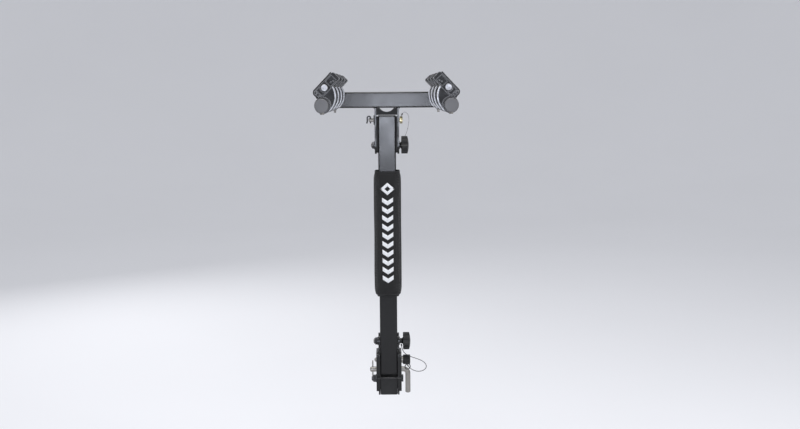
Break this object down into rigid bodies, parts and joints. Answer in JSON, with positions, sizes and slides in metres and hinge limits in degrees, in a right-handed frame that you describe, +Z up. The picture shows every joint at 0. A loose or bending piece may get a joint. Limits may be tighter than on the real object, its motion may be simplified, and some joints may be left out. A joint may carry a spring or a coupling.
{
  "type": "hitch mounted bike rack",
  "caption": "Folding hitch mounted bike rack: receiver tongue, padded upright mast, crossbar and cradle arms.",
  "frame": {"origin": "middle of the 50 mm tongue, on the axis of the hitch pin", "axes": "+X to the right seen from behind the vehicle, +Y towards the vehicle along the tongue, +Z up"},
  "size_m": [0.336, 0.78, 0.9677],
  "materials": {
    "black_coat": "semi-gloss black powder coat with a fine orange peel",
    "zinc": "bright zinc plate",
    "black_zinc": "black passivated zinc",
    "yellow_zinc": "yellow passivated zinc",
    "band_steel": "bright satin steel",
    "cradle_plastic": "fine moulded grain",
    "strap_rubber": "soft matte rubber",
    "knob_plastic": "fine moulded grain",
    "plug_plastic": "smooth moulded",
    "cap_grey": "light grey moulded",
    "nylon": "smooth nylon",
    "pad_fabric": "black neoprene with a knitted face",
    "wire_bright": "stranded wire in a clear coat",
    "wire_dark": "stranded wire in a grey coat"
  },
  "bodies": {
    "hitch_frame": {"tongue": "black_coat", "tongue_end_cap": "plug_plastic", "yoke_base_web": "black_coat", "yoke_inner_plate_left": "black_coat", "yoke_inner_plate_right": "black_coat", "yoke_outer_plate_left": "black_coat", "yoke_outer_plate_right": "black_coat", "yoke_bolt": "black_zinc", "lower_hinge_nut": "black_zinc"},
    "hitch_pin": {"hitch_pin": "zinc"},
    "hitch_pin_clip": {"hitch_pin_clip": "zinc"},
    "lower_knob": {"lower_knob": "knob_plastic", "lower_knob_stud": "zinc"},
    "mast": {"mast": "black_coat", "mast_plugs": "plug_plastic", "mast_side_liners": "nylon", "pad_sleeve": "pad_fabric", "upper_lanyard": "wire_bright", "lower_lanyard": "wire_dark"},
    "lower_lock_pin": {"lower_lock_pin": "zinc", "lower_lock_grip": "knob_plastic"},
    "upper_lock_pin": {"upper_lock_pin": "zinc", "upper_lock_head": "yellow_zinc"},
    "upper_lock_clip": {"upper_lock_clip": "black_zinc"},
    "head": {"upper_hinge_nut": "black_zinc", "bracket_plate_left": "black_coat", "bracket_plate_right": "black_coat", "bracket_web": "black_coat", "crossbar": "black_coat", "crossbar_plugs": "plug_plastic", "arm_left": "black_coat", "arm_right": "black_coat", "arm_end_caps": "cap_grey", "arm_bolts": "zinc"},
    "upper_knob": {"upper_knob": "knob_plastic", "upper_knob_stud": "zinc"},
    "cradle_left_1": {"cradle_left_1_body": "cradle_plastic", "cradle_left_1_strap": "strap_rubber", "cradle_left_1_fittings": "band_steel"},
    "cradle_left_2": {"cradle_left_2_body": "cradle_plastic", "cradle_left_2_strap": "strap_rubber", "cradle_left_2_fittings": "band_steel"},
    "cradle_left_3": {"cradle_left_3_body": "cradle_plastic", "cradle_left_3_strap": "strap_rubber", "cradle_left_3_fittings": "band_steel"},
    "cradle_left_4": {"cradle_left_4_body": "cradle_plastic", "cradle_left_4_strap": "strap_rubber", "cradle_left_4_fittings": "band_steel"},
    "cradle_right_1": {"cradle_right_1_body": "cradle_plastic", "cradle_right_1_strap": "strap_rubber", "cradle_right_1_fittings": "band_steel"},
    "cradle_right_2": {"cradle_right_2_body": "cradle_plastic", "cradle_right_2_strap": "strap_rubber", "cradle_right_2_fittings": "band_steel"},
    "cradle_right_3": {"cradle_right_3_body": "cradle_plastic", "cradle_right_3_strap": "strap_rubber", "cradle_right_3_fittings": "band_steel"},
    "cradle_right_4": {"cradle_right_4_body": "cradle_plastic", "cradle_right_4_strap": "strap_rubber", "cradle_right_4_fittings": "band_steel"}
  },
  "joints": [
    {"name": "mast_tilt", "type": "hinge", "parent": "hitch_frame", "child": "mast", "pos_m": [0, -0.15, 0.129], "axis": [1, 0, 0], "range_deg": [0, 50]},
    {"name": "arm_fold", "type": "hinge", "parent": "mast", "child": "head", "pos_m": [0, -0.15, 0.698], "axis": [1, 0, 0], "range_deg": [0, 90]},
    {"name": "lower_knob_turn", "type": "hinge", "parent": "hitch_frame", "child": "lower_knob", "pos_m": [0, -0.15, 0.129], "axis": [1, 0, 0], "range_deg": [0, 360]},
    {"name": "upper_knob_turn", "type": "hinge", "parent": "head", "child": "upper_knob", "pos_m": [0, -0.15, 0.698], "axis": [1, 0, 0], "range_deg": [0, 360]},
    {"name": "lower_lock_pull", "type": "slide", "parent": "mast", "child": "lower_lock_pin", "axis": [1, 0, 0], "range_m": [0, 0.085]},
    {"name": "upper_lock_pull", "type": "slide", "parent": "mast", "child": "upper_lock_pin", "axis": [1, 0, 0], "range_m": [0, 0.006]},
    {"name": "upper_clip_pull", "type": "slide", "parent": "upper_lock_pin", "child": "upper_lock_clip", "axis": [0, 0, 1], "range_m": [0, 0.0145]},
    {"name": "hitch_pin_pull", "type": "slide", "parent": "hitch_frame", "child": "hitch_pin", "axis": [1, 0, 0], "range_m": [0, 0.02]},
    {"name": "hitch_clip_pull", "type": "slide", "parent": "hitch_pin", "child": "hitch_pin_clip", "axis": [0, 0, 1], "range_m": [0, 0.045]},
    {"name": "cradle_left_1_swivel", "type": "hinge", "parent": "head", "child": "cradle_left_1", "pos_m": [-0.1455, -0.215, 0.8186], "axis": [0, 1, 0], "range_deg": [-44, 44]},
    {"name": "cradle_left_2_swivel", "type": "hinge", "parent": "head", "child": "cradle_left_2", "pos_m": [-0.1455, -0.365, 0.8186], "axis": [0, 1, 0], "range_deg": [-44, 44]},
    {"name": "cradle_left_3_swivel", "type": "hinge", "parent": "head", "child": "cradle_left_3", "pos_m": [-0.1455, -0.515, 0.8186], "axis": [0, 1, 0], "range_deg": [-44, 44]},
    {"name": "cradle_left_4_swivel", "type": "hinge", "parent": "head", "child": "cradle_left_4", "pos_m": [-0.1455, -0.665, 0.8186], "axis": [0, 1, 0], "range_deg": [-44, 44]},
    {"name": "cradle_right_1_swivel", "type": "hinge", "parent": "head", "child": "cradle_right_1", "pos_m": [0.1455, -0.215, 0.8186], "axis": [0, 1, 0], "range_deg": [-44, 44]},
    {"name": "cradle_right_2_swivel", "type": "hinge", "parent": "head", "child": "cradle_right_2", "pos_m": [0.1455, -0.365, 0.8186], "axis": [0, 1, 0], "range_deg": [-44, 44]},
    {"name": "cradle_right_3_swivel", "type": "hinge", "parent": "head", "child": "cradle_right_3", "pos_m": [0.1455, -0.515, 0.8186], "axis": [0, 1, 0], "range_deg": [-44, 44]},
    {"name": "cradle_right_4_swivel", "type": "hinge", "parent": "head", "child": "cradle_right_4", "pos_m": [0.1455, -0.665, 0.8186], "axis": [0, 1, 0], "range_deg": [-44, 44]}
  ]
}
